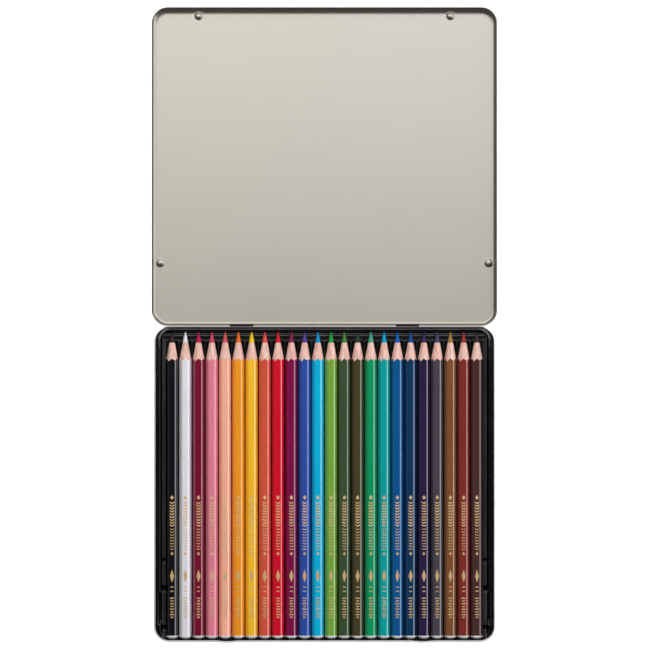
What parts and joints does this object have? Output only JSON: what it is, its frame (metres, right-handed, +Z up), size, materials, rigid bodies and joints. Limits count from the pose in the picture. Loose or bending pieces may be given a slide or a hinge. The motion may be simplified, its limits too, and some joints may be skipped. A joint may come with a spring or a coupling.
{
  "type": "colored pencil tin",
  "caption": "Flat hinged metal tin with its lid opened flat, a black formed tray in the base and a row of hexagonal coloured pencils lying in grooves.",
  "frame": {"origin": "centre of the base pan's underside, where the base stands on the table", "axes": "+Z up out of the open tin, +Y from the base towards the hinge and the opened lid, +X to the right seen from the front"},
  "size_m": [0.197, 0.3622, 0.0102],
  "materials": {
    "tin_base": "bare tinplate, satin; the outside is dark lacquered below the rim",
    "tin_lid": "satin tinplate inside, dark charcoal lacquer outside",
    "tray_black": "semi-gloss thermoformed sheet",
    "casing_black": "gloss lacquer over wood, bare wood on the sharpened cone, white dipped end",
    "lead_black": "waxy",
    "casing_white": "gloss lacquer over wood, bare wood on the sharpened cone, white dipped end",
    "lead_white": "waxy",
    "casing_crimson": "gloss lacquer over wood, bare wood on the sharpened cone, white dipped end",
    "lead_crimson": "waxy",
    "casing_pink": "gloss lacquer over wood, bare wood on the sharpened cone, white dipped end",
    "lead_pink": "waxy",
    "casing_salmon": "gloss lacquer over wood, bare wood on the sharpened cone, white dipped end",
    "lead_salmon": "waxy",
    "casing_orange": "gloss lacquer over wood, bare wood on the sharpened cone, white dipped end",
    "lead_orange": "waxy",
    "casing_yellow": "gloss lacquer over wood, bare wood on the sharpened cone, white dipped end",
    "lead_yellow": "waxy",
    "casing_vermilion": "gloss lacquer over wood, bare wood on the sharpened cone, white dipped end",
    "lead_vermilion": "waxy",
    "casing_red": "gloss lacquer over wood, bare wood on the sharpened cone, white dipped end",
    "lead_red": "waxy",
    "casing_wine": "gloss lacquer over wood, bare wood on the sharpened cone, white dipped end",
    "lead_wine": "waxy",
    "casing_blue_violet": "gloss lacquer over wood, bare wood on the sharpened cone, white dipped end",
    "lead_blue_violet": "waxy",
    "casing_cyan": "gloss lacquer over wood, bare wood on the sharpened cone, white dipped end",
    "lead_cyan": "waxy",
    "casing_grass_green": "gloss lacquer over wood, bare wood on the sharpened cone, white dipped end",
    "lead_grass_green": "waxy",
    "casing_dark_green": "gloss lacquer over wood, bare wood on the sharpened cone, white dipped end",
    "lead_dark_green": "waxy",
    "casing_olive": "gloss lacquer over wood, bare wood on the sharpened cone, white dipped end",
    "lead_olive": "waxy",
    "casing_emerald": "gloss lacquer over wood, bare wood on the sharpened cone, white dipped end",
    "lead_emerald": "waxy",
    "casing_teal": "gloss lacquer over wood, bare wood on the sharpened cone, white dipped end",
    "lead_teal": "waxy",
    "casing_blue": "gloss lacquer over wood, bare wood on the sharpened cone, white dipped end",
    "lead_blue": "waxy",
    "casing_dark_blue": "gloss lacquer over wood, bare wood on the sharpened cone, white dipped end",
    "lead_dark_blue": "waxy",
    "casing_dark_violet": "gloss lacquer over wood, bare wood on the sharpened cone, white dipped end",
    "lead_dark_violet": "waxy",
    "casing_grey_violet": "gloss lacquer over wood, bare wood on the sharpened cone, white dipped end",
    "lead_grey_violet": "waxy",
    "casing_brown": "gloss lacquer over wood, bare wood on the sharpened cone, white dipped end",
    "lead_brown": "waxy",
    "casing_red_brown": "gloss lacquer over wood, bare wood on the sharpened cone, white dipped end",
    "lead_red_brown": "waxy",
    "casing_dark_brown": "gloss lacquer over wood, bare wood on the sharpened cone, white dipped end",
    "lead_dark_brown": "waxy"
  },
  "bodies": {
    "base": {"base_pan": "tin_base", "pencil_tray": "tray_black"},
    "lid": {"lid_pan": "tin_lid"},
    "pencil_01": {"pencil_01_casing": "casing_black", "pencil_01_lead": "lead_black"},
    "pencil_02": {"pencil_02_casing": "casing_white", "pencil_02_lead": "lead_white"},
    "pencil_03": {"pencil_03_casing": "casing_crimson", "pencil_03_lead": "lead_crimson"},
    "pencil_04": {"pencil_04_casing": "casing_pink", "pencil_04_lead": "lead_pink"},
    "pencil_05": {"pencil_05_casing": "casing_salmon", "pencil_05_lead": "lead_salmon"},
    "pencil_06": {"pencil_06_casing": "casing_orange", "pencil_06_lead": "lead_orange"},
    "pencil_07": {"pencil_07_casing": "casing_yellow", "pencil_07_lead": "lead_yellow"},
    "pencil_08": {"pencil_08_casing": "casing_vermilion", "pencil_08_lead": "lead_vermilion"},
    "pencil_09": {"pencil_09_casing": "casing_red", "pencil_09_lead": "lead_red"},
    "pencil_10": {"pencil_10_casing": "casing_wine", "pencil_10_lead": "lead_wine"},
    "pencil_11": {"pencil_11_casing": "casing_blue_violet", "pencil_11_lead": "lead_blue_violet"},
    "pencil_12": {"pencil_12_casing": "casing_cyan", "pencil_12_lead": "lead_cyan"},
    "pencil_13": {"pencil_13_casing": "casing_grass_green", "pencil_13_lead": "lead_grass_green"},
    "pencil_14": {"pencil_14_casing": "casing_dark_green", "pencil_14_lead": "lead_dark_green"},
    "pencil_15": {"pencil_15_casing": "casing_olive", "pencil_15_lead": "lead_olive"},
    "pencil_16": {"pencil_16_casing": "casing_emerald", "pencil_16_lead": "lead_emerald"},
    "pencil_17": {"pencil_17_casing": "casing_teal", "pencil_17_lead": "lead_teal"},
    "pencil_18": {"pencil_18_casing": "casing_blue", "pencil_18_lead": "lead_blue"},
    "pencil_19": {"pencil_19_casing": "casing_dark_blue", "pencil_19_lead": "lead_dark_blue"},
    "pencil_20": {"pencil_20_casing": "casing_dark_violet", "pencil_20_lead": "lead_dark_violet"},
    "pencil_21": {"pencil_21_casing": "casing_grey_violet", "pencil_21_lead": "lead_grey_violet"},
    "pencil_22": {"pencil_22_casing": "casing_brown", "pencil_22_lead": "lead_brown"},
    "pencil_23": {"pencil_23_casing": "casing_red_brown", "pencil_23_lead": "lead_red_brown"},
    "pencil_24": {"pencil_24_casing": "casing_dark_brown", "pencil_24_lead": "lead_dark_brown"}
  },
  "joints": [
    {"name": "lid_hinge", "type": "hinge", "parent": "base", "child": "lid", "pos_m": [0, 0.09035, 0.00635], "axis": [-1, 0, 0], "range_deg": [-180, 0]},
    {"name": "pencil_01_lift", "type": "slide", "parent": "base", "child": "pencil_01", "axis": [0, 0, 1], "range_m": [0, 0.03]},
    {"name": "pencil_02_lift", "type": "slide", "parent": "base", "child": "pencil_02", "axis": [0, 0, 1], "range_m": [0, 0.03]},
    {"name": "pencil_03_lift", "type": "slide", "parent": "base", "child": "pencil_03", "axis": [0, 0, 1], "range_m": [0, 0.03]},
    {"name": "pencil_04_lift", "type": "slide", "parent": "base", "child": "pencil_04", "axis": [0, 0, 1], "range_m": [0, 0.03]},
    {"name": "pencil_05_lift", "type": "slide", "parent": "base", "child": "pencil_05", "axis": [0, 0, 1], "range_m": [0, 0.03]},
    {"name": "pencil_06_lift", "type": "slide", "parent": "base", "child": "pencil_06", "axis": [0, 0, 1], "range_m": [0, 0.03]},
    {"name": "pencil_07_lift", "type": "slide", "parent": "base", "child": "pencil_07", "axis": [0, 0, 1], "range_m": [0, 0.03]},
    {"name": "pencil_08_lift", "type": "slide", "parent": "base", "child": "pencil_08", "axis": [0, 0, 1], "range_m": [0, 0.03]},
    {"name": "pencil_09_lift", "type": "slide", "parent": "base", "child": "pencil_09", "axis": [0, 0, 1], "range_m": [0, 0.03]},
    {"name": "pencil_10_lift", "type": "slide", "parent": "base", "child": "pencil_10", "axis": [0, 0, 1], "range_m": [0, 0.03]},
    {"name": "pencil_11_lift", "type": "slide", "parent": "base", "child": "pencil_11", "axis": [0, 0, 1], "range_m": [0, 0.03]},
    {"name": "pencil_12_lift", "type": "slide", "parent": "base", "child": "pencil_12", "axis": [0, 0, 1], "range_m": [0, 0.03]},
    {"name": "pencil_13_lift", "type": "slide", "parent": "base", "child": "pencil_13", "axis": [0, 0, 1], "range_m": [0, 0.03]},
    {"name": "pencil_14_lift", "type": "slide", "parent": "base", "child": "pencil_14", "axis": [0, 0, 1], "range_m": [0, 0.03]},
    {"name": "pencil_15_lift", "type": "slide", "parent": "base", "child": "pencil_15", "axis": [0, 0, 1], "range_m": [0, 0.03]},
    {"name": "pencil_16_lift", "type": "slide", "parent": "base", "child": "pencil_16", "axis": [0, 0, 1], "range_m": [0, 0.03]},
    {"name": "pencil_17_lift", "type": "slide", "parent": "base", "child": "pencil_17", "axis": [0, 0, 1], "range_m": [0, 0.03]},
    {"name": "pencil_18_lift", "type": "slide", "parent": "base", "child": "pencil_18", "axis": [0, 0, 1], "range_m": [0, 0.03]},
    {"name": "pencil_19_lift", "type": "slide", "parent": "base", "child": "pencil_19", "axis": [0, 0, 1], "range_m": [0, 0.03]},
    {"name": "pencil_20_lift", "type": "slide", "parent": "base", "child": "pencil_20", "axis": [0, 0, 1], "range_m": [0, 0.03]},
    {"name": "pencil_21_lift", "type": "slide", "parent": "base", "child": "pencil_21", "axis": [0, 0, 1], "range_m": [0, 0.03]},
    {"name": "pencil_22_lift", "type": "slide", "parent": "base", "child": "pencil_22", "axis": [0, 0, 1], "range_m": [0, 0.03]},
    {"name": "pencil_23_lift", "type": "slide", "parent": "base", "child": "pencil_23", "axis": [0, 0, 1], "range_m": [0, 0.03]},
    {"name": "pencil_24_lift", "type": "slide", "parent": "base", "child": "pencil_24", "axis": [0, 0, 1], "range_m": [0, 0.03]}
  ]
}
